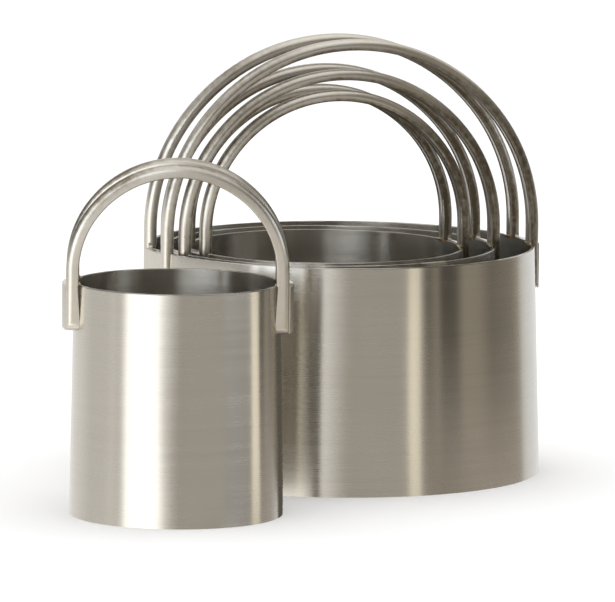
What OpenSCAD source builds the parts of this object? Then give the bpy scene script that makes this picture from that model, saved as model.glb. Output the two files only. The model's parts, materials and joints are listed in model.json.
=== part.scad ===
// Nesting set of four round biscuit cutters with double bar handles.
// Millimetres. Each cutter is an open ring, a strap handle and its weld beads.
// The three larger cutters stand one inside the other, the smallest in front.

/* [Rings] */
// Height of every cutter ring
ring_h = 44.45; // [40:0.05:50]
// Wall thickness of the rings
wall_t = 0.6; // [0.5:0.05:0.8]
// Outer radius of the outer ring at the rim
outer_rim_r = 38.12; // [37.6:0.02:38.6]
// Outer radius of the outer ring at the cutting edge
outer_edge_r = 39.54; // [39:0.02:40]
// Outer radius of the middle ring at the rim
middle_rim_r = 32.5; // [32.1:0.02:32.8]
// Outer radius of the middle ring at the cutting edge
middle_edge_r = 33.4; // [33:0.02:33.8]
// Outer radius of the inner ring at the rim
inner_rim_r = 27.2; // [26.9:0.02:27.4]
// Outer radius of the inner ring at the cutting edge
inner_edge_r = 27.95; // [27.6:0.02:28.2]
// Outer radius of the small ring at the rim
small_rim_r = 19.77; // [19.5:0.01:19.9]
// Outer radius of the small ring at the cutting edge
small_edge_r = 20.38; // [20.1:0.02:20.8]
// Height of the ground bevel inside the cutting edge
edge_bevel_h = 0.8; // [0.4:0.1:1.5]
// Width of the flat land left on the cutting edge
edge_land = 0.3; // [0.2:0.05:0.4]

/* [Handle strap] */
// Spacing of the two bars, centre to centre
bar_gap = 11.5; // [10.5:0.1:12.5]
// Width of one bar
bar_w = 3.0; // [2.6:0.1:3.4]
// Radial depth of the bars of the three larger handles
bar_d = 2.05; // [1.9:0.05:2.2]
// Rounding of the outside corners of those bars
bar_round = 1.25; // [1:0.05:1.35]
// Radial depth of the bars of the small handle
small_bar_d = 2.43; // [2.3:0.01:2.5]
// Rounding of the outside corners of those bars
small_bar_round = 1.2; // [0.9:0.05:1.3]
// Depth of the hollow along the inside of a bar
bar_hollow = 0.45; // [0.2:0.05:0.6]
// Length of the left tab below the rim
left_tab_len = 8.8; // [7:0.1:10]
// Length of the right tab below the rim
right_tab_len = 9.15; // [7:0.05:10]
// Rounding of the lower corners of the tab
tab_round = 1.8; // [1:0.1:2.4]
// Rounding at the foot of the slot between the bars
slot_round = 1.0; // [0.6:0.1:1.4]
// Inside plane of the small tabs, which stand off the wall along their edges
small_tab_in = 19.0; // [18.8:0.05:19.2]

/* [Handle arches] */
// Inside half width of the outer arch
outer_arch_a = 36.85; // [36.7:0.05:36.95]
// Sideways set of the outer arch towards the right tab
outer_arch_set = 0.1; // [0:0.02:0.2]
// Inside height of the outer arch above the rim
outer_arch_h = 39.1; // [38.8:0.05:39.4]
// Inside half width of the middle arch
middle_arch_a = 31.16; // [31:0.02:31.2]
// Sideways set of the middle arch towards the right tab
middle_arch_set = 0.16; // [0:0.02:0.2]
// Inside height of the middle arch above the rim
middle_arch_h = 33.4; // [33.1:0.05:33.7]
// Inside half width of the inner arch
inner_arch_a = 25.65; // [25.5:0.05:25.8]
// Sideways set of the inner arch towards the right tab
inner_arch_set = 0.22; // [0:0.02:0.3]
// Inside height of the inner arch above the rim
inner_arch_h = 29.4; // [29.1:0.05:29.7]
// Inside half width of the small arch
small_arch_a = 18.7; // [18.6:0.05:18.85]
// Inside height of the small arch above the rim
small_arch_h = 20.5; // [20.2:0.05:20.8]

/* [Tabs] */
// Outside radius of the left tab of the outer handle
outer_left_ro = 39.2; // [39.1:0.02:39.4]
// Outside radius of the right tab of the outer handle
outer_right_ro = 39.77; // [39.6:0.01:39.9]
// Outside radius of the left tab of the middle handle
middle_left_ro = 33.55; // [33.5:0.01:33.7]
// Outside radius of the right tab of the middle handle
middle_right_ro = 33.86; // [33.8:0.01:34]
// Outside radius of the left tab of the inner handle
inner_left_ro = 28.08; // [28:0.01:28.2]
// Outside radius of the right tab of the inner handle
inner_right_ro = 28.51; // [28.4:0.01:28.6]
// Outside radius of the left tab of the small handle
small_left_ro = 21.9; // [21.85:0.01:22.1]
// Outside radius of the right tab of the small handle
small_right_ro = 22.1; // [22:0.01:22.2]

/* [Layout] */
// Place of the outer cutter
outer_pos = [6.9, 20.32];
// Place of the middle cutter
middle_pos = [4.65, 18.52];
// Place of the inner cutter
inner_pos = [3.75, 17.42];
// Place of the small cutter
small_pos = [-24.35, -39.48];
// Turn of the outer handle
outer_turn = 17.9; // [15:0.1:20]
// Turn of the middle handle
middle_turn = 18.7; // [15:0.1:20]
// Turn of the inner handle
inner_turn = 17.3; // [15:0.1:20]
// Turn of the small handle
small_turn = 1.3; // [-3:0.1:5]

/* [Hidden] */
$fn = 96;
fine = 240;
eps = 0.01;
strap_w = bar_gap + bar_w;
slot_w = bar_gap - bar_w;
slot_foot = ring_h - 0.2;
steel = [0.66, 0.64, 0.60];
bead_r = 0.5;
rim_bead_r = 0.3;
shoulder = asin(0.6);
bead_len = 2.4;
rim_bead_len = 1.8;

// Outside of a ring as one solid cone frustum
module ring_outside(rim_r, edge_r) {
    cylinder(h = ring_h, r1 = edge_r, r2 = rim_r, $fn = fine);
}

// Inside of a ring, running past both ends
module ring_inside(rim_r, edge_r) {
    slope = (edge_r - rim_r) / ring_h;
    translate([0, 0, -1])
        cylinder(h = ring_h + 2, r1 = edge_r - wall_t + slope, r2 = rim_r - wall_t - slope, $fn = fine);
}

// Open ring with a plain cut rim and a bevelled cutting edge
module ring(rim_r, edge_r) {
    difference() {
        ring_outside(rim_r, edge_r);
        ring_inside(rim_r, edge_r);
        translate([0, 0, -eps])
            cylinder(h = edge_bevel_h + eps, r1 = edge_r - edge_land, r2 = edge_r - wall_t - 0.03, $fn = fine);
    }
}

// Cross section of one bar, inside face at x = 0, outside face at x = d
module bar_section(d, ro) {
    hw = bar_w / 2;
    ri = 0.22;
    difference() {
        union() {
            translate([ri, -hw]) square([d - ri - ro, bar_w]);
            translate([0, -hw + ri]) square([d - ro, bar_w - 2 * ri]);
            translate([d - ro - eps, -hw + ro]) square([ro + eps, bar_w - 2 * ro]);
            for (s = [-1, 1]) {
                translate([ri, s * (hw - ri)]) circle(r = ri);
                translate([d - ro, s * (hw - ro)]) circle(r = ro);
            }
        }
        // hollow of the stamped channel
        translate([bar_hollow - 1.35, 0]) circle(r = 1.35);
    }
}

// One bar bent to an arch: straight legs, tight shoulder arcs and a wider top arc, all tangent.
// The shoulder arcs end on a slope of three to four, so the two arcs meet exactly.
module arch_bar(a, h, leg, d, ro) {
    c = 2 * (leg + a - h);
    r_side = a - c;
    r_top = r_side + 1.25 * c;
    for (m = [0, 1]) mirror([m, 0, 0]) {
        translate([a, 0, ring_h - 1]) linear_extrude(leg + 1) bar_section(d, ro);
        translate([c, 0, ring_h + leg])
            rotate([90, 0, 0])
                rotate_extrude(angle = shoulder) translate([r_side, 0]) bar_section(d, ro);
        translate([0, 0, ring_h + leg - 0.75 * c])
            rotate([90, 0, 0])
                rotate([0, 0, shoulder])
                    rotate_extrude(angle = 60) translate([r_top, 0]) bar_section(d, ro);
    }
}

// Plan of a tab: the two bars run on down its edges, a curved plate of outside radius r between them
module tab_plan(x, d, ro, r) {
    difference() {
        union() {
            intersection() {
                circle(r = r, $fn = 180);
                translate([0, -bar_gap / 2]) square([r + 1, bar_gap]);
            }
            for (s = [-1, 1]) translate([0, s * bar_gap / 2 - bar_w / 2]) square([x + d - ro, bar_w]);
            for (s = [-1, 1]) translate([x, s * bar_gap / 2]) {
                translate([0, -bar_w / 2 + ro]) square([d, bar_w - 2 * ro]);
                for (t = [-1, 1]) translate([d - ro, t * (bar_w / 2 - ro)]) circle(r = ro);
            }
        }
        translate([-50, -20]) square([50 + x - 4, 40]);
    }
}

// Face of a tab seen from outside, with rounded lower corners
module tab_face(len) {
    hw = strap_w / 2;
    z0 = ring_h - len;
    translate([-hw, z0 + tab_round]) square([strap_w, slot_foot - z0 - tab_round]);
    translate([-hw + tab_round, z0]) square([strap_w - 2 * tab_round, tab_round + eps]);
    for (s = [-1, 1]) translate([s * (hw - tab_round), z0 + tab_round]) circle(r = tab_round);
}

// Upright profile of a tab, top and bottom outside edges rounded
module tab_profile(len, r) {
    z0 = ring_h - len;
    e = 0.35;
    translate([r - 7, z0]) square([7 - e, slot_foot - z0]);
    translate([r - 7, z0 + e]) square([7, slot_foot - z0 - 2 * e]);
    for (z = [z0 + e, slot_foot - e]) translate([r - e, z]) circle(r = e);
}

// Concave corners where the slot between the bars ends on the plate, from radius r_in outwards
module slot_corners(x, d, r_in) {
    sw = slot_w / 2;
    translate([r_in - 0.4, 0, 0]) rotate([90, 0, 90]) linear_extrude(x + d - 0.45 - r_in + 0.4)
        for (s = [-1, 1]) difference() {
            translate([s > 0 ? sw - slot_round : -sw - 0.3, slot_foot - 0.3])
                square([slot_round + 0.3, slot_round + 0.3]);
            translate([s * (sw - slot_round), slot_foot + slot_round]) circle(r = slot_round);
        }
}

// One tab on the side the strap comes down at +x
module tab(rim_r, x, d, ro, r, len) {
    intersection() {
        translate([0, 0, ring_h - len - 1]) linear_extrude(len + 2) tab_plan(x, d, ro, r);
        rotate([90, 0, 90]) linear_extrude(r + 2) tab_face(len);
        rotate_extrude($fn = 180) tab_profile(len, r + 0.1);
    }
    slot_corners(x, d, rim_r);
}

// Strap handle: two bars and the two tabs that join them, in one piece.
// Below the rim nothing of it comes nearer to the middle than tab_in.
module handle(rim_r, edge_r, a, h, leg, set, left_r, right_r, d = bar_d, ro = bar_round, tab_in = 0) {
    difference() {
        union() {
            for (s = [-1, 1]) translate([set, s * bar_gap / 2, 0]) arch_bar(a, h, leg, d, ro);
            tab(rim_r, a + set, d, ro, right_r, right_tab_len);
            mirror([1, 0, 0]) tab(rim_r, a - set, d, ro, left_r, left_tab_len);
        }
        ring_outside(rim_r, edge_r);
        if (tab_in > 0) translate([-tab_in, -20, ring_h - 20]) cube([2 * tab_in, 40, 20]);
    }
}

// Weld beads in the corner under the bars, against the inside of the wall
module beads_under(rim_r, edge_r) {
    ui = sqrt(pow(rim_r - wall_t, 2) - pow(bar_gap / 2, 2));
    for (m = [0, 1]) mirror([m, 0, 0]) for (s = [-1, 1]) intersection() {
        translate([ui, s * bar_gap / 2, ring_h]) rotate([90, 0, -s * asin(bar_gap / 2 / rim_r) * -1])
            cylinder(h = bead_len, r = bead_r, center = true, $fn = 32);
        ring_inside(rim_r, edge_r);
        translate([0, -20, ring_h - 2]) cube([60, 40, 2]);
    }
}

// Weld beads in the corner between the rim and the inside face of the bars
module beads_above(rim_r, a) {
    for (m = [0, 1]) mirror([m, 0, 0]) for (s = [-1, 1]) intersection() {
        translate([a, s * (bar_gap / 2 - 0.15), ring_h]) rotate([90, 0, 0])
            cylinder(h = rim_bead_len, r = rim_bead_r, center = true, $fn = 32);
        translate([a - 2, -20, ring_h]) cube([2, 40, 2]);
    }
}

module outer_ring() {
    color(steel) translate(outer_pos) rotate([0, 0, outer_turn]) ring(outer_rim_r, outer_edge_r);
}
module outer_handle() {
    color(steel) translate(outer_pos) rotate([0, 0, outer_turn])
        handle(outer_rim_r, outer_edge_r, outer_arch_a, outer_arch_h, 3.5,
               outer_arch_set, outer_left_ro, outer_right_ro);
}
module outer_weld_beads() {
    color(steel) translate(outer_pos) rotate([0, 0, outer_turn]) beads_under(outer_rim_r, outer_edge_r);
}
module middle_ring() {
    color(steel) translate(middle_pos) rotate([0, 0, middle_turn]) ring(middle_rim_r, middle_edge_r);
}
module middle_handle() {
    color(steel) translate(middle_pos) rotate([0, 0, middle_turn])
        handle(middle_rim_r, middle_edge_r, middle_arch_a, middle_arch_h, 3.5,
               middle_arch_set, middle_left_ro, middle_right_ro);
}
module middle_weld_beads() {
    color(steel) translate(middle_pos) rotate([0, 0, middle_turn]) beads_under(middle_rim_r, middle_edge_r);
}
module inner_ring() {
    color(steel) translate(inner_pos) rotate([0, 0, inner_turn]) ring(inner_rim_r, inner_edge_r);
}
module inner_handle() {
    color(steel) translate(inner_pos) rotate([0, 0, inner_turn])
        handle(inner_rim_r, inner_edge_r, inner_arch_a, inner_arch_h, 4.3,
               inner_arch_set, inner_left_ro, inner_right_ro);
}
module inner_weld_beads() {
    color(steel) translate(inner_pos) rotate([0, 0, inner_turn]) beads_under(inner_rim_r, inner_edge_r);
}
module small_ring() {
    color(steel) translate(small_pos) rotate([0, 0, small_turn]) ring(small_rim_r, small_edge_r);
}
module small_handle() {
    color(steel) translate(small_pos) rotate([0, 0, small_turn])
        handle(small_rim_r, small_edge_r, small_arch_a, small_arch_h, 2.6,
               0, small_left_ro, small_right_ro, small_bar_d, small_bar_round, small_tab_in);
}
module small_weld_beads() {
    color(steel) translate(small_pos) rotate([0, 0, small_turn]) beads_above(small_rim_r, small_arch_a);
}

outer_ring();
outer_handle();
outer_weld_beads();
middle_ring();
middle_handle();
middle_weld_beads();
inner_ring();
inner_handle();
inner_weld_beads();
small_ring();
small_handle();
small_weld_beads();
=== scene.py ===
"""Nesting round biscuit cutters in brushed steel: open rings with double bar strap handles.

The CAD model is the frame. Each ring is modelled afresh with a rolled, softly waving wall, a
broken rim and a ground cutting edge. Each handle is the CAD strap with its grain laid along the
bars, the hollow inside the bars eased and, on the small cutter, the tabs pressed onto the wall.
The weld beads are the CAD beads with small ripples. Metres, +Z up, +Y away from the camera.
"""

import json
import math

import bmesh
import bpy
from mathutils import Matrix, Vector, noise

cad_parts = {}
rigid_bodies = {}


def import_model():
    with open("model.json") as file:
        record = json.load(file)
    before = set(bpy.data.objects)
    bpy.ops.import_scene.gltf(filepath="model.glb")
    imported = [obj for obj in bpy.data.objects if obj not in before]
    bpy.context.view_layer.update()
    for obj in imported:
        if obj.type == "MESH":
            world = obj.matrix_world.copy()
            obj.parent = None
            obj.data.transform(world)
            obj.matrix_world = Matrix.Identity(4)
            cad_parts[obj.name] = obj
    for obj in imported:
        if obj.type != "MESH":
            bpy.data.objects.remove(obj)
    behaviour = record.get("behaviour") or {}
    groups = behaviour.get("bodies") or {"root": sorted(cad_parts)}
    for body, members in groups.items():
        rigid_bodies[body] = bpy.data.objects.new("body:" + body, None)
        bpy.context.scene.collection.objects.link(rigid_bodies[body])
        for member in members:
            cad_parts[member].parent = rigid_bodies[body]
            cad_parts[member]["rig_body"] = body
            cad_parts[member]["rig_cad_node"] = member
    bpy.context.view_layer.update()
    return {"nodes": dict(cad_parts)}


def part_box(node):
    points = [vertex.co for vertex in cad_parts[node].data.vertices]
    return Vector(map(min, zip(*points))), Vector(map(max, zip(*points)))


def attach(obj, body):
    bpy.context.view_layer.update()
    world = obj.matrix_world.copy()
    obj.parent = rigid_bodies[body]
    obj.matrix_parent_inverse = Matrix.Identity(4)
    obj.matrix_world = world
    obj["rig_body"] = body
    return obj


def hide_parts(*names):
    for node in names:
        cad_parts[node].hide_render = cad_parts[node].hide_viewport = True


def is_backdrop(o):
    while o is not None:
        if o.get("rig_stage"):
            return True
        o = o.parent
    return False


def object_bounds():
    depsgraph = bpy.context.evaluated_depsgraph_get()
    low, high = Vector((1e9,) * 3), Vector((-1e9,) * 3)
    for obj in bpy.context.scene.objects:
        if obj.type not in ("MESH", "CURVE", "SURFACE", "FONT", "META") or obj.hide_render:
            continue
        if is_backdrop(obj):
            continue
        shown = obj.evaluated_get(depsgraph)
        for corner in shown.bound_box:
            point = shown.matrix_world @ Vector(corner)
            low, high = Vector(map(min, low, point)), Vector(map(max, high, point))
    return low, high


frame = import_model()

MM = 0.001
HAIRBREADTH = 0.02 * MM  # near enough to count as level or touching

# the rings
RING_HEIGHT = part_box("outer_ring")[1].z
WALL = 0.6 * MM
RING_SIDES = 288
WALL_CUTS = 21
WAVE_SHIFT = 1.9
FOOT_BAND = 0.1 * MM
GRIND_WIDTH = 0.3 * MM
GRIND_TOP = 0.8 * MM
RIM_BREAK = 0.2 * MM
RIM_BAND = 0.15 * MM
RING_CREASE = math.radians(28)
RING_HEAT_REACH = 2.2 * MM

# the strap handles
BAR_SPACING = 11.5 * MM
TAB_LENGTH = 8.8 * MM
SHOULDER_ANGLE = math.asin(0.6)
HOLLOW_HALF_WIDTH = 0.8 * MM
HOLLOW_EASED = 0.8
CLEAR_OF_RIM = 0.3 * MM
PRESSED_GAP = 0.01 * MM
STRAP_CREASE = math.radians(32)
STRAP_HEAT_REACH = 2.0 * MM

# the weld beads
RIPPLE_DEPTH = 0.03 * MM
RIPPLES_PER_MM = 15.0
BEAD_CREASE = math.radians(50)

# finishes
STEEL_TONE = (0.625, 0.597, 0.54)
POLISHED_TONE = (0.77, 0.745, 0.69)
# the colour the strap darkens towards, partly tarnished steel and partly painted shade
TARNISH_AND_SHADE_TINT = (0.26, 0.23, 0.19)
SMOOTH_ROUGHNESS = 0.22

# the studio and the camera
FLOOR_SIZE = 12
TENT_RADIUS = 3
TENT_HEIGHT = 0.04
CARD_FOOT = -10 * MM
FLAG_START, FLAG_RUN, FLAG_CLIMB = -0.046, 0.070, 0.030
LENS = 471.0
CAMERA_PLACE = (0.000355, -1.5548, 0.2409)
LOOK_DOWN = 7.518
LOOK_TILT = 0.569

# rim: radius at the rim. turn: turn of the handle, in degrees. half, rise and set: the arch's half
# width inside, its height, and how far it sits to one side. leg: straight part of a bar above the
# rim. depth: depth of a bar. tarnish: how dark the flanks, the crowns and the inside faces are
# made, partly tarnished steel and partly painted shade that follows which way each face looks.
# pressed: how far out the inside of a tab is pressed onto the wall.
CUTTERS = {
    "outer": {
        "rim": 38.12 * MM, "turn": 17.9, "half": 36.85 * MM, "rise": 39.1 * MM, "set": 0.1 * MM,
        "leg": 3.5 * MM, "depth": 2.05 * MM, "tarnish_and_shade": (0.82, 0.14, 0.0), "pressed": 0,
    },
    "middle": {
        "rim": 32.5 * MM, "turn": 18.7, "half": 31.16 * MM, "rise": 33.4 * MM, "set": 0.16 * MM,
        "leg": 3.5 * MM, "depth": 2.05 * MM, "tarnish_and_shade": (0.96, 0.24, 0.0), "pressed": 0,
    },
    "inner": {
        "rim": 27.2 * MM, "turn": 17.3, "half": 25.65 * MM, "rise": 29.4 * MM, "set": 0.22 * MM,
        "leg": 4.3 * MM, "depth": 2.05 * MM, "tarnish_and_shade": (0.96, 0.24, 0.0), "pressed": 0,
    },
    "small": {
        "rim": 19.77 * MM, "turn": 1.3, "half": 18.7 * MM, "rise": 20.5 * MM, "set": 0.0,
        "leg": 2.6 * MM, "depth": 2.43 * MM, "tarnish_and_shade": (0.06, 0.72, 0.10), "pressed": 19.03 * MM,
    },
}
for name, cutter in CUTTERS.items():
    low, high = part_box(name + "_ring")
    cutter["centre"] = Vector(((low.x + high.x) / 2, (low.y + high.y) / 2, 0))
    cutter["edge"] = (high.x - low.x) / 2
    cutter["turn"] = math.radians(cutter["turn"])


# Small modelling helpers

def deselect():
    if bpy.context.object and bpy.context.object.mode != "OBJECT":
        bpy.ops.object.mode_set(mode="OBJECT")
    bpy.ops.object.select_all(action="DESELECT")


def only(obj):
    """Select one object and make it active."""
    deselect()
    obj.select_set(True)
    bpy.context.view_layer.objects.active = obj


def settle(obj):
    """Put the object's place into its mesh."""
    only(obj)
    bpy.ops.object.transform_apply(location=True, rotation=True, scale=True)


def pick(obj, domain, test):
    """In edit mode, select the vertices, edges or faces that pass the test."""
    bpy.ops.mesh.select_all(action="DESELECT")
    mesh = bmesh.from_edit_mesh(obj.data)
    for item in getattr(mesh, domain):
        if test(item):
            item.select_set(True)
    mesh.select_flush_mode()
    bmesh.update_edit_mesh(obj.data)


def soft_step(start, end, value):
    t = min(1, max(0, (value - start) / (end - start)))
    return t * t * (3 - 2 * t)


def dress(obj, material):
    obj.data.materials.clear()
    obj.data.materials.append(material)


# Places on a cutter

def to_local(cutter, point):
    """A point in a cutter's own axes: x towards one foot of the handle, y along its width."""
    p = Vector(point) - cutter["centre"]
    c, s = math.cos(cutter["turn"]), math.sin(cutter["turn"])
    return Vector((c * p.x + s * p.y, -s * p.x + c * p.y, p.z))


def to_world(cutter, point):
    c, s = math.cos(cutter["turn"]), math.sin(cutter["turn"])
    x, y, z = point
    return Vector((c * x - s * y, s * x + c * y, z)) + cutter["centre"]


def wall_radius(cutter, z):
    """The outside radius of a ring at a height, on its true cone."""
    return cutter["edge"] + (cutter["rim"] - cutter["edge"]) * z / RING_HEIGHT


def weld_points(cutter):
    """The four places where the bars are welded to the wall, at the rim."""
    half, aside = cutter["half"], cutter["set"]
    return [
        to_world(cutter, (foot * half + aside, bar * BAR_SPACING / 2, RING_HEIGHT))
        for foot in (-1, 1)
        for bar in (-1, 1)
    ]


def heat_at(point, reach, welds):
    """How much heat tint a point has, falling off round the welds in an uneven way."""
    wander = 1 + 0.35 * noise.noise(Vector(point) * 900)
    d = min((Vector(point) - w).length for w in welds) / (reach * wander)
    return math.exp(-d * d)


def write_attribute(obj, name, kind, values, domain="POINT"):
    attribute = obj.data.attributes.get(name) or obj.data.attributes.new(name, kind, domain)
    flat = [x for v in values for x in v] if kind == "FLOAT_VECTOR" else list(values)
    attribute.data.foreach_set("vector" if kind == "FLOAT_VECTOR" else "value", flat)


def write_finish(obj, grain, direction, heat, smooth, tarnish_and_shade, tarnish_and_shade_domain="POINT"):
    """Store what the steel reads: its strokes, its heat tint, where it is smooth or dull, and how
    dark it is made, partly tarnished and partly painted shade.
    """
    write_attribute(obj, "grain", "FLOAT_VECTOR", grain)
    write_attribute(obj, "grain_dir", "FLOAT_VECTOR", direction)
    write_attribute(obj, "heat", "FLOAT", heat)
    write_attribute(obj, "smooth", "FLOAT", smooth)
    write_attribute(obj, "tarnish_and_shade", "FLOAT", tarnish_and_shade, tarnish_and_shade_domain)


# The rings

def roll_wander(seed, angle, z):
    """How far a rolled wall stands off a true cone: long soft waves round the ring."""
    up = z / RING_HEIGHT
    return MM * (
        0.045 * math.sin(3 * angle + seed)
        + 0.03 * math.sin(7 * angle + 1.7 * seed + 1.3 * up)
        + 0.012 * math.sin(17 * angle + 2.3 * seed + 2.6 * up)
    ) * (0.35 + 0.65 * math.sin(math.pi * min(1, 0.15 + up * 0.85)))


def roll_wall(name, seed):
    """The sheet of a ring, rolled up and given its thickness."""
    cutter = CUTTERS[name]
    deselect()
    bpy.ops.mesh.primitive_cylinder_add(
        vertices=RING_SIDES,
        radius=cutter["rim"],
        depth=RING_HEIGHT,
        end_fill_type="NOTHING",
        location=cutter["centre"] + Vector((0, 0, RING_HEIGHT / 2)),
    )
    ring = bpy.context.object
    ring.name = ring.data.name = name + "_rolled_ring"
    settle(ring)
    bpy.ops.object.mode_set(mode="EDIT")
    pick(ring, "edges", lambda e: abs(e.verts[0].co.z - e.verts[1].co.z) > 0.5 * RING_HEIGHT)
    bpy.ops.mesh.subdivide(number_cuts=WALL_CUTS)
    bpy.ops.object.mode_set(mode="OBJECT")

    # flare towards the cutting edge, and the soft waves of the rolled sheet
    for v in ring.data.vertices:
        p = v.co - cutter["centre"]
        angle = math.atan2(p.y, p.x)
        r = wall_radius(cutter, p.z)
        if 0.01 < p.z / RING_HEIGHT < 0.99:
            r += roll_wander(seed, angle, p.z)
        v.co = cutter["centre"] + Vector((r * math.cos(angle), r * math.sin(angle), p.z))

    only(ring)
    wall = ring.modifiers.new("wall", "SOLIDIFY")
    wall.thickness = WALL
    wall.offset = -1
    wall.use_even_offset = True
    bpy.ops.object.modifier_apply(modifier=wall.name)
    return ring


def make_ring(name, seed):
    cutter = CUTTERS[name]
    ring = roll_wall(name, seed)

    def out_from_centre(v):
        return (v.co - cutter["centre"]).xy.length

    # cutting edge: a narrow land outside and a ground bevel inside
    def on_inner_foot(v):
        return v.co.z < FOOT_BAND and out_from_centre(v) < cutter["edge"] - 0.5 * WALL

    bpy.ops.object.mode_set(mode="EDIT")
    pick(ring, "edges", lambda e: all(on_inner_foot(v) for v in e.verts))
    bpy.ops.mesh.bevel(offset=GRIND_WIDTH, segments=1, affect="EDGES")
    bpy.ops.object.mode_set(mode="OBJECT")
    for v in ring.data.vertices:
        if FOOT_BAND < v.co.z < 2 * GRIND_WIDTH:
            v.co.z = GRIND_TOP

    # rim: both corners slightly broken by tumbling
    def round_the_rim(e):
        a, b = e.verts
        at_top = all(v.co.z > RING_HEIGHT - HAIRBREADTH for v in e.verts)
        return at_top and abs(out_from_centre(a) - out_from_centre(b)) < 0.2 * WALL

    only(ring)
    bpy.ops.object.mode_set(mode="EDIT")
    pick(ring, "edges", round_the_rim)
    bpy.ops.mesh.bevel(offset=RIM_BREAK, segments=3, affect="EDGES")
    bpy.ops.mesh.select_all(action="SELECT")
    bpy.ops.mesh.normals_make_consistent(inside=False)
    bpy.ops.object.mode_set(mode="OBJECT")
    bpy.ops.object.shade_smooth_by_angle(angle=RING_CREASE)

    # strokes of the brush run round the ring; the inside and the rim are smoother
    welds = weld_points(cutter)
    grain, direction, heat, smooth = [], [], [], []
    for v in ring.data.vertices:
        p = v.co - cutter["centre"]
        angle = math.atan2(p.y, p.x)
        middle_of_wall = wall_radius(cutter, p.z) - WALL / 2
        outside = min(1, max(0, (p.xy.length - middle_of_wall) / (0.5 * WALL)))
        smooth.append(1 - outside if p.z < RING_HEIGHT - RIM_BAND else 1.0)
        direction.append((-math.sin(angle), math.cos(angle), 0))
        r = cutter["rim"]
        grain.append((r * math.cos(angle), r * math.sin(angle), p.z + p.xy.length))
        heat.append(heat_at(v.co, RING_HEAT_REACH, welds))
    write_finish(ring, grain, direction, heat, smooth, [0.0] * len(smooth))
    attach(ring, name + "_cutter")
    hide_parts(name + "_ring")
    return ring


# The strap handles

def copy_of_node(node_name, piece_name, cuts=0):
    """A copy of a CAD node to work on: its triangles merged and, if asked, cut finer."""
    deselect()
    piece = frame["nodes"][node_name].copy()
    piece.data = piece.data.copy()
    bpy.context.scene.collection.objects.link(piece)
    piece.parent = None
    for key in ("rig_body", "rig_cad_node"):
        if key in piece:
            del piece[key]
    piece.name = piece.data.name = piece_name
    only(piece)
    bpy.ops.object.mode_set(mode="EDIT")
    bpy.ops.mesh.select_all(action="SELECT")
    bpy.ops.mesh.remove_doubles(threshold=0.1 * HAIRBREADTH)
    if cuts:
        bpy.ops.mesh.subdivide(number_cuts=cuts)
    bpy.ops.object.mode_set(mode="OBJECT")
    if piece.data.has_custom_normals:
        bpy.ops.mesh.customdata_custom_splitnormals_clear()
    return piece


def place_on_strap(cutter, p):
    """Where a local point lies on the strap: the distance along it from the foot of its tab, the
    depth from the inside face outwards, and the strap's direction there."""
    side = 1 if p.x >= cutter["set"] else -1
    x, half, leg = abs(p.x - cutter["set"]), cutter["half"], cutter["leg"]
    shoulder_x = 2 * (leg + half - cutter["rise"])
    top_of_leg = RING_HEIGHT + leg
    r_side = half - shoulder_x
    r_top = r_side + 1.25 * shoulder_x
    middle = cutter["depth"] / 2
    if p.z <= top_of_leg:
        along, depth, around = p.z - (RING_HEIGHT - TAB_LENGTH), x - half, 0.0
    else:
        along = leg + TAB_LENGTH
        dx, dz = x - shoulder_x, p.z - top_of_leg
        around = math.atan2(dz, dx)
        if around < SHOULDER_ANGLE:
            along += (r_side + middle) * around
            depth = math.hypot(dx, dz) - r_side
        else:
            dz = p.z - top_of_leg + 0.75 * shoulder_x
            around = math.atan2(dz, x)
            over_top = around - SHOULDER_ANGLE
            along += (r_side + middle) * SHOULDER_ANGLE + (r_top + middle) * over_top
            depth = math.hypot(x, dz) - r_top
    direction = Vector((-side * math.sin(around), 0, math.cos(around))) * side
    return side * along, depth, direction


def outward_of(d):
    """The way out of the arch, square to the strap's direction."""
    return Vector((d.z, 0, -d.x))


def ease_hollow(strap, cutter):
    """Ease the hollow on the inside of the bars, which has worn smooth."""
    for v in strap.data.vertices:
        p = to_local(cutter, v.co)
        _, depth, d = place_on_strap(cutter, p)
        if p.z > RING_HEIGHT + CLEAR_OF_RIM and 0 < depth < 0.5 * cutter["depth"]:
            if abs(abs(p.y) - BAR_SPACING / 2) < HOLLOW_HALF_WIDTH:
                v.co = to_world(cutter, p - HOLLOW_EASED * depth * outward_of(d))


def press_tabs(strap, cutter):
    """Press the inside of each tab onto the round wall."""
    for v in strap.data.vertices:
        p = to_local(cutter, v.co)
        on_wall = math.sqrt(wall_radius(cutter, p.z) ** 2 - p.y ** 2)
        if p.z < RING_HEIGHT - HAIRBREADTH and on_wall < abs(p.x) < cutter["pressed"]:
            p.x = math.copysign(on_wall + PRESSED_GAP, p.x)
            v.co = to_world(cutter, p)


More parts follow.
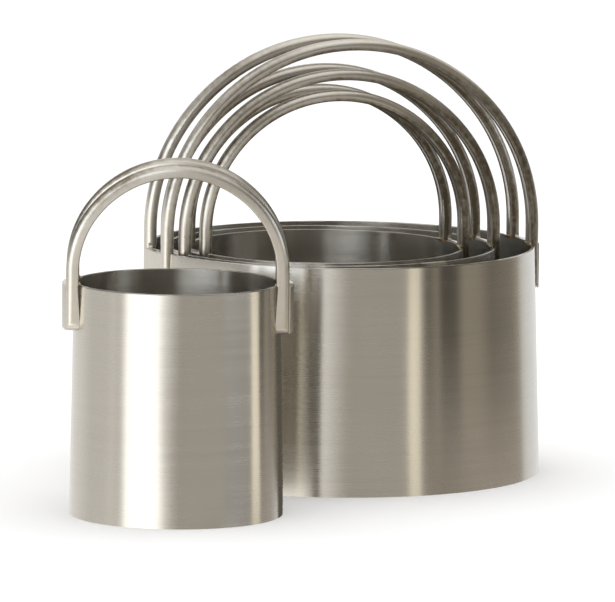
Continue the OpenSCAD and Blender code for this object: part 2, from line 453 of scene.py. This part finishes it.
def tarnish_and_shade_at(cutter, p, facing):
    """How dark the strap is made at a local point, on a face that looks the given way: partly
    tarnished steel and partly painted shade, set by which way the face looks and where it is on the
    arch.
    """
    on_flank, on_crown, on_inside = cutter["tarnish_and_shade"]
    _, depth, d = place_on_strap(cutter, p)
    out = facing.dot(outward_of(d))
    share = depth / cutter["depth"]
    towards_foot = (p.x - cutter["set"]) / cutter["half"]

    # painted shade with some tarnished steel: the back of each bar and the inner half of its front,
    # all of it near one foot
    if facing.y > 0:
        flank_tarnish_and_shade = soft_step(0.05, 0.4, facing.y)
    else:
        inner_half = 1 - soft_step(0.15, 0.42, share)
        one_foot = soft_step(0.45, 0.85, towards_foot)
        flank_tarnish_and_shade = facing.y ** 2 * max(inner_half, one_foot)

    # less on the tabs below the rim
    crown = on_crown * (1 - 0.75 * soft_step(-0.5 * MM, 1.5 * MM, RING_HEIGHT - p.z))

    # painted shade: a darker stretch on the outer half of each arch, towards the other foot
    stretch = soft_step(0.15, 0.6, -towards_foot)
    stretch *= soft_step(7 * MM, 15 * MM, p.z - RING_HEIGHT)
    outer_half = max(out, 0) ** 2 + max(-facing.y, 0) ** 2 * soft_step(0.35, 0.55, share)

    # painted shade with some tarnished steel: crowns and inside faces darker the more they look
    # outward
    edge_on = (crown if out > 0 else on_inside) * out ** 2
    return on_flank * flank_tarnish_and_shade + edge_on + 0.5 * stretch * outer_half


def make_handle(name):
    """The CAD strap, merged and shaded smooth, with its grain laid along the bars."""
    cutter = CUTTERS[name]
    strap = copy_of_node(name + "_handle", name + "_strap_handle")
    ease_hollow(strap, cutter)
    press_tabs(strap, cutter)
    bpy.ops.object.shade_smooth_by_angle(angle=STRAP_CREASE)

    mesh = strap.data
    welds = weld_points(cutter)
    grain, direction, heat, tarnish_and_shade = [], [], [], []
    for v in mesh.vertices:
        p = to_local(cutter, v.co)
        along, depth, d = place_on_strap(cutter, p)
        grain.append((along, p.y, depth))
        direction.append(tuple(to_world(cutter, d) - cutter["centre"]))
        heat.append(heat_at(v.co, STRAP_HEAT_REACH, welds))
    # tarnished steel and painted shade, per face corner, by which way each face looks
    for loop, normal in zip(mesh.loops, mesh.corner_normals):
        p = to_local(cutter, mesh.vertices[loop.vertex_index].co)
        facing = to_local(cutter, normal.vector + cutter["centre"])
        tarnish_and_shade.append(tarnish_and_shade_at(cutter, p, facing))
    write_finish(strap, grain, direction, heat, [0.0] * len(heat), tarnish_and_shade, "CORNER")
    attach(strap, name + "_cutter")
    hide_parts(name + "_handle")
    return strap


def make_beads(name):
    """The weld beads, with the ripples that each puddle of the weld left behind."""
    cutter = CUTTERS[name]
    beads = copy_of_node(name + "_weld_beads", name + "_rippled_welds", cuts=2)
    normals = [v.normal.copy() for v in beads.data.vertices]
    for v, normal in zip(beads.data.vertices, normals):
        ripple = 0.5 + 0.5 * math.sin(to_local(cutter, v.co).y / MM * RIPPLES_PER_MM)
        v.co -= normal * RIPPLE_DEPTH * ripple
    bpy.ops.object.shade_smooth_by_angle(angle=BEAD_CREASE)
    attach(beads, name + "_cutter")
    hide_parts(name + "_weld_beads")
    return beads


# Steels

class Nodes:
    """A short way to write a node tree."""

    def __init__(self, material):
        material.use_nodes = True
        self.tree = material.node_tree
        self.tree.nodes.clear()

    def add(self, kind, inputs=None, **settings):
        node = self.tree.nodes.new(kind)
        for key, value in settings.items():
            setattr(node, key, value)
        for key, value in (inputs or {}).items():
            if isinstance(value, bpy.types.NodeSocket):
                self.tree.links.new(value, node.inputs[key])
            else:
                node.inputs[key].default_value = value
        return node

    def attribute(self, name, output):
        return self.add("ShaderNodeAttribute", attribute_name=name).outputs[output]

    def noise(self, place, scale, detail, roughness=0.5):
        inputs = {"Vector": place, "Scale": scale, "Detail": detail, "Roughness": roughness}
        return self.add("ShaderNodeTexNoise", inputs).outputs["Fac"]

    def ramp(self, factor, stops):
        node = self.add("ShaderNodeValToRGB", {"Fac": factor})
        elements = node.color_ramp.elements
        elements[0].position, elements[1].position = stops[0][0], stops[-1][0]
        elements[0].color, elements[1].color = (*stops[0][1], 1), (*stops[-1][1], 1)
        for position, color in stops[1:-1]:
            elements.new(position).color = (*color, 1)
        return node.outputs["Color"]

    def math(self, operation, a, b=0.0, c=0.0, clamp=False):
        node = self.add("ShaderNodeMath", {0: a, 1: b, 2: c}, operation=operation, use_clamp=clamp)
        return node.outputs[0]

    def mix(self, factor, a, b, blend="MIX"):
        node = self.add("ShaderNodeMix", data_type="RGBA", blend_type=blend)
        for socket, value in ((node.inputs[0], factor), (node.inputs[6], a), (node.inputs[7], b)):
            if isinstance(value, bpy.types.NodeSocket):
                self.tree.links.new(value, socket)
            else:
                socket.default_value = value if isinstance(value, float) else (*value, 1)
        return node.outputs[2]

    def surface(self, shader, output="ShaderNodeOutputMaterial"):
        self.tree.links.new(shader, self.add(output).inputs["Surface"])


def brushed_steel(name, tone, stretch, fine, roughness, anisotropy, bump_depth, mottle):
    """Brushed steel whose streaks run along the piece's own grain attribute.

    stretch and fine scale the grain coordinates, in periods a metre, along and across the strokes.
    """
    material = bpy.data.materials.new(name)
    n = Nodes(material)
    grain = n.attribute("grain", "Vector")
    direction = n.attribute("grain_dir", "Vector")
    heat = n.attribute("heat", "Fac")
    smooth = n.attribute("smooth", "Fac")
    tarnish_and_shade = n.attribute("tarnish_and_shade", "Fac")
    place = n.add("ShaderNodeTexCoord").outputs["Object"]

    def streaks(scale, detail, rough):
        spread = n.add("ShaderNodeVectorMath", {0: grain, 1: scale}, operation="MULTIPLY")
        return n.noise(spread.outputs[0], 1.0, detail, rough)

    def off_middle(value, amount, base):
        return n.math("MULTIPLY_ADD", n.math("SUBTRACT", value, 0.5), amount, base)

    coarse = streaks(stretch, 3.0, 0.55)
    hair = streaks(fine, 2.0, 0.6)
    cloud = n.noise(place, 70.0, 3.0)
    specks = n.noise(place, 900.0, 2.0)

    both = n.math("ADD", n.math("MULTIPLY", coarse, 0.55), n.math("MULTIPLY", hair, 0.45))
    dark = tuple(c * 0.92 for c in tone)
    dull = tuple(c * 0.93 for c in tone)
    light = tuple(min(1, c * 1.06) for c in tone)
    color = n.ramp(both, [(0.3, dark), (0.5, tone), (0.7, light)])
    color = n.mix(0.35, color, n.ramp(cloud, [(0.3, dull), (0.7, light)]))

    # darkening in uneven streaks along the strokes: partly tarnished steel, partly painted shade
    uneven = off_middle(coarse, 2.6, 0.0)
    uneven = n.math("ADD", uneven, off_middle(specks, 1.1, 0.0))
    patchy = off_middle(cloud, 1.2, uneven)
    amount = n.math("MULTIPLY", tarnish_and_shade, n.math("MULTIPLY_ADD", patchy, 1.0, 1.0), clamp=True)
    color = n.mix(amount, color, n.mix(1.0, color, TARNISH_AND_SHADE_TINT, blend="MULTIPLY"))

    # a faint straw cast in patches
    cast = n.ramp(specks, [(0.45, (1.0, 1.0, 1.0)), (0.75, (1.0, 0.96, 0.87))])
    color = n.mix(mottle, color, n.mix(1.0, color, cast, blend="MULTIPLY"))

    # heat tint: straw, amber and a brown heart round the welds
    straw = n.ramp(
        heat,
        [
            (0.0, (1.0, 1.0, 1.0)),
            (0.2, (1.0, 0.93, 0.74)),
            (0.42, (1.0, 0.74, 0.36)),
            (0.68, (0.92, 0.50, 0.18)),
            (1.0, (0.55, 0.30, 0.16)),
        ],
    )
    color = n.mix(1.0, color, straw, blend="MULTIPLY")

    rough = n.math("MULTIPLY_ADD", both, 0.08, roughness - 0.04)
    rough = n.math("MULTIPLY_ADD", cloud, 0.06, n.math("SUBTRACT", rough, 0.03))
    rough = n.math("ADD", rough, n.math("MULTIPLY", smooth, SMOOTH_ROUGHNESS - roughness))
    bump = n.add("ShaderNodeBump", {"Height": hair, "Strength": 0.10, "Distance": bump_depth})
    shader = n.add(
        "ShaderNodeBsdfPrincipled",
        {
            "Base Color": color,
            "Metallic": 1.0,
            "Roughness": rough,
            "Anisotropic": anisotropy,
            "Anisotropic Rotation": 0.25,
            "Tangent": direction,
            "Normal": bump.outputs["Normal"],
        },
    )
    n.surface(shader.outputs[0])
    return material


def weld_metal():
    """Weld metal: straw and brown oxide in patches over a matt grey bead."""
    material = bpy.data.materials.new("weld_steel")
    n = Nodes(material)
    place = n.add("ShaderNodeTexCoord").outputs["Object"]
    patch = n.noise(place, 1400.0, 3.0)
    pit = n.noise(place, 5200.0, 2.0)
    brown, amber, grey_straw = (0.30, 0.20, 0.09), (0.66, 0.47, 0.20), (0.66, 0.58, 0.42)
    bump = n.add("ShaderNodeBump", {"Height": pit, "Strength": 0.3, "Distance": 0.05 * MM})
    shader = n.add(
        "ShaderNodeBsdfPrincipled",
        {
            "Base Color": n.ramp(patch, [(0.3, brown), (0.5, amber), (0.7, grey_straw)]),
            "Metallic": 1.0,
            "Roughness": n.math("MULTIPLY_ADD", patch, 0.2, 0.30),
            "Normal": bump.outputs["Normal"],
        },
    )
    n.surface(shader.outputs[0])
    return material


ring_steel = brushed_steel(
    "ring_steel", STEEL_TONE, stretch=(30, 30, 900), fine=(50, 50, 6500),
    roughness=0.27, anisotropy=0.94, bump_depth=0.006 * MM, mottle=0.0,
)
handle_steel = brushed_steel(
    "handle_steel", POLISHED_TONE, stretch=(45, 1100, 1100), fine=(120, 4200, 4200),
    roughness=0.31, anisotropy=0.7, bump_depth=0.03 * MM, mottle=0.9,
)
weld_steel = weld_metal()

for seed, name in enumerate(CUTTERS, start=1):
    dress(make_ring(name, WAVE_SHIFT * seed), ring_steel)
    dress(make_handle(name), handle_steel)
    dress(make_beads(name), weld_steel)


# Floor and studio

def studio_face(name, build):
    material = bpy.data.materials.new(name)
    n = Nodes(material)
    n.surface(build(n))
    return material


def glow(color, strength=1.0):
    """An even glow of one colour."""
    inputs = {"Color": (*color, 1), "Strength": strength}
    return lambda n: n.add("ShaderNodeEmission", inputs).outputs[0]


def white_paper(n):
    return n.add("ShaderNodeBsdfDiffuse", {"Color": (0.97, 0.97, 0.97, 1)}).outputs[0]


def make_floor():
    deselect()
    bpy.ops.mesh.primitive_plane_add(size=FLOOR_SIZE, location=(0, 2, 0))
    floor = bpy.context.object
    floor.name = "floor"
    settle(floor)
    dress(floor, studio_face("white_paper", white_paper))
    floor.visible_glossy = False
    floor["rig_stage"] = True


def reflected_only(obj):
    """Seen only in the steel, like a studio's reflectors outside the picture."""
    obj.visible_camera = False
    obj.visible_diffuse = False
    obj.visible_shadow = False
    obj.visible_transmission = False
    obj.visible_volume_scatter = False
    obj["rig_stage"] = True


# Each row is a direction round the scene in degrees, 0 towards the camera and 90 to the right, the
# level of light from there, and its warmth. First the studio as the steel sees it near the horizon
# and below.
ROOM = [
    (-180, 0.95, 0),
    (-165, 0.95, 0.03),
    (-130, 0.95, 0.04),
    (-106, 0.82, 0.06),
    (-82, 0.90, 0.06),
    (-74, 1.04, 0.06),
    (-67, 0.90, 0.08),
    (-62, 1.02, 0.05),
    (-53, 1.9, 0.04),
    (-22, 1.8, 0.05),
    (-16, 1.15, 0.10),
    (-10, 0.52, 0.25),
    (-3, 0.38, 0.3),
    (4, 0.57, 0.16),
    (12, 0.62, 0.14),
    (50, 0.62, 0.14),
    (58, 0.22, 0.3),
    (88, 0.22, 0.3),
    (98, 0.50, 0.14),
    (126, 0.52, 0.12),
    (138, 0.85, 0),
    (180, 0.93, -0.04),
]

# a little higher: a tall window left of the camera and a cooler one far to the right
WINDOWS = [
    (-180, 0.95, 0),
    (-120, 0.50, 0),
    (-62, 0.20, 0),
    (-55, 2.6, -0.12),
    (-24, 2.9, -0.12),
    (-8, 2.3, -0.10),
    (-2, 1.5, -0.10),
    (4, 0.08, 0),
    (51, 0.06, 0),
    (57, 1.5, -0.10),
    (90, 1.4, -0.10),
    (97, 0.10, 0),
    (130, 0.30, 0),
    (150, 0.95, 0),
    (180, 0.95, 0),
]


def round_the_room(rows):
    """Colour ramp stops from rows of direction, level and warmth."""
    return [
        ((degrees + 180) / 360, (level, level * (1 - 0.45 * warmth), level * (1 - warmth)))
        for degrees, level, warmth in rows
    ]


def tent_cloth(n):
    """Bands of light round the tent, mixed upwards from the room to the windows and the ceiling."""
    place = n.add("ShaderNodeTexCoord").outputs["Object"]
    xyz = n.add("ShaderNodeSeparateXYZ", {0: place}).outputs

    def rise(value, start, end):
        inputs = {"Value": value, "From Min": math.radians(start), "From Max": math.radians(end)}
        return n.add("ShaderNodeMapRange", inputs, interpolation_type="SMOOTHSTEP").outputs[0]

    turn = n.math("ARCTAN2", xyz["X"], n.math("MULTIPLY", xyz["Y"], -1.0))
    around = n.math("MULTIPLY_ADD", turn, 0.5 / math.pi, 0.5)
    flat = n.add("ShaderNodeVectorMath", {0: place, 1: (1, 1, 0)}, operation="MULTIPLY").outputs[0]
    out = n.add("ShaderNodeVectorMath", {0: flat}, operation="LENGTH").outputs["Value"]
    height = n.math("ARCTAN2", n.math("SUBTRACT", xyz["Z"], TENT_HEIGHT), out)
    color = n.ramp(around, round_the_room(ROOM))
    tiers = (
        (1.5, 6, n.ramp(around, round_the_room(WINDOWS))),
        (28, 34, (0.72, 0.70, 0.67)),
        (50, 58, (1.08, 1.05, 1.01)),
    )
    for start, end, tier in tiers:
        color = n.mix(rise(height, start, end), color, tier)
    return n.add("ShaderNodeEmission", {"Color": color}).outputs[0]


def make_tent():
    """The studio: a wide closed tent round the table that only the steel reflects."""
    deselect()
    bpy.ops.mesh.primitive_uv_sphere_add(
        segments=48, ring_count=24, radius=TENT_RADIUS, location=(0, 0, TENT_HEIGHT)
    )
    tent = bpy.context.object
    tent.name = "studio_tent"
    settle(tent)
    dress(tent, studio_face("tent_cloth", tent_cloth))
    reflected_only(tent)


def make_dark_inside(name):
    """The shaded table inside a ring, as its wall reflects it."""
    cutter = CUTTERS[name]
    deselect()
    bpy.ops.mesh.primitive_circle_add(
        vertices=96,
        radius=cutter["edge"] - 0.1 * MM,
        fill_type="NGON",
        location=cutter["centre"] + Vector((0, 0, 0.3 * MM)),
    )
    disc = bpy.context.object
    disc.name = name + "_inside_shade"
    settle(disc)
    dress(disc, studio_face(disc.name, glow((0.08, 0.075, 0.066))))
    reflected_only(disc)


def upright_card(name, start, end, height, build):
    """A card standing between two points of its plan, from just under the table up."""
    deselect()
    bpy.ops.mesh.primitive_plane_add(size=1, location=(0, 0, 0))
    card = bpy.context.object
    card.name = name
    corners = [(start, CARD_FOOT), (end, CARD_FOOT), (start, height), (end, height)]
    for v, ((x, y), z) in zip(card.data.vertices, corners):
        v.co = (x, y, z)
    dress(card, studio_face(name + "_face", build))
    reflected_only(card)


def dark_flag_face(n):
    """A dark flag that glows with painted light and shade: bands along it like creased cloth, and
    painted light towards the table.
    """
    place = n.add("ShaderNodeTexCoord").outputs["Object"]
    xyz = n.add("ShaderNodeSeparateXYZ", {0: place}).outputs
    along = n.math("DIVIDE", n.math("SUBTRACT", xyz["Y"], FLAG_START), FLAG_RUN)
    painted_fold_bands = [
        (0.0, 0.16), (0.06, 0.12), (0.15, 0.36), (0.20, 0.08), (0.35, 0.09),
        (0.42, 0.34), (0.55, 0.33), (0.66, 0.19), (0.90, 0.26), (1.0, 0.40),
    ]
    color = n.ramp(along, [(at, (level, level * 0.90, level * 0.74)) for at, level in painted_fold_bands])
    # painted light from the table, brighter towards the flag's foot
    climb = n.math("DIVIDE", n.math("MAXIMUM", xyz["Z"], 0.0), FLAG_CLIMB)
    lower = n.math("SUBTRACT", 1.0, climb, clamp=True)
    color = n.mix(n.math("POWER", lower, 1.3), color, (0.44, 0.40, 0.35))
    return n.add("ShaderNodeEmission", {"Color": color}).outputs[0]


warm_strip = glow((1.0, 0.93, 0.78), 1.25)
# a dark glow, painted shade for the reflection between the two cutters
painted_shade_glow = glow((0.12, 0.107, 0.088))

make_floor()
make_tent()
make_dark_inside("outer")
make_dark_inside("small")
upright_card("strip_reflector", (0.0515, -0.0525), (0.0481, -0.0384), 0.052, warm_strip)
# painted shade: a narrow dark card right beside the small cutter, seen only in the big wall,
# darkening its reflection between the two cutters
upright_card("between_cutters_shade_card", (-0.0040, -0.0395), (-0.0008, -0.0395), 0.046, painted_shade_glow)
upright_card("dark_flag", (0.062, -0.047), (0.066, 0.025), 0.16, dark_flag_face)


# Lamp, world and camera

def soft_lamp(name, location, aim, size, power):
    deselect()
    bpy.ops.object.light_add(type="AREA", location=location)
    lamp = bpy.context.object
    lamp.name = name
    lamp.data.shape = "SQUARE"
    lamp.data.size = size
    lamp.data.energy = power
    lamp.rotation_euler = (Vector(aim) - Vector(location)).to_track_quat("-Z", "Y").to_euler()
    lamp.visible_glossy = False


soft_lamp("overhead_softbox", location=(0.12, 0.22, 0.95), aim=(0, 0, 0), size=0.9, power=2.2)

world = bpy.data.worlds.new("white_studio")
bpy.context.scene.world = world
n = Nodes(world)
backdrop = n.add("ShaderNodeBackground", {"Color": (1, 1, 1, 1), "Strength": 1.0})
n.surface(backdrop.outputs[0], output="ShaderNodeOutputWorld")

bpy.context.scene.view_settings.view_transform = "Standard"

# a long lens from a little above, with the slight tilt of the photograph
camera_data = bpy.data.cameras.new("camera")
camera = bpy.data.objects.new("camera", camera_data)
bpy.context.scene.collection.objects.link(camera)
camera_data.sensor_width = 36
camera_data.lens = LENS
camera_data.clip_start, camera_data.clip_end = 0.05, 50
camera.location = CAMERA_PLACE
camera.rotation_euler = (math.radians(90 - LOOK_DOWN), 0, 0)
camera.rotation_euler.rotate_axis("Z", math.radians(LOOK_TILT))
bpy.context.scene.camera = camera

low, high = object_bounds()
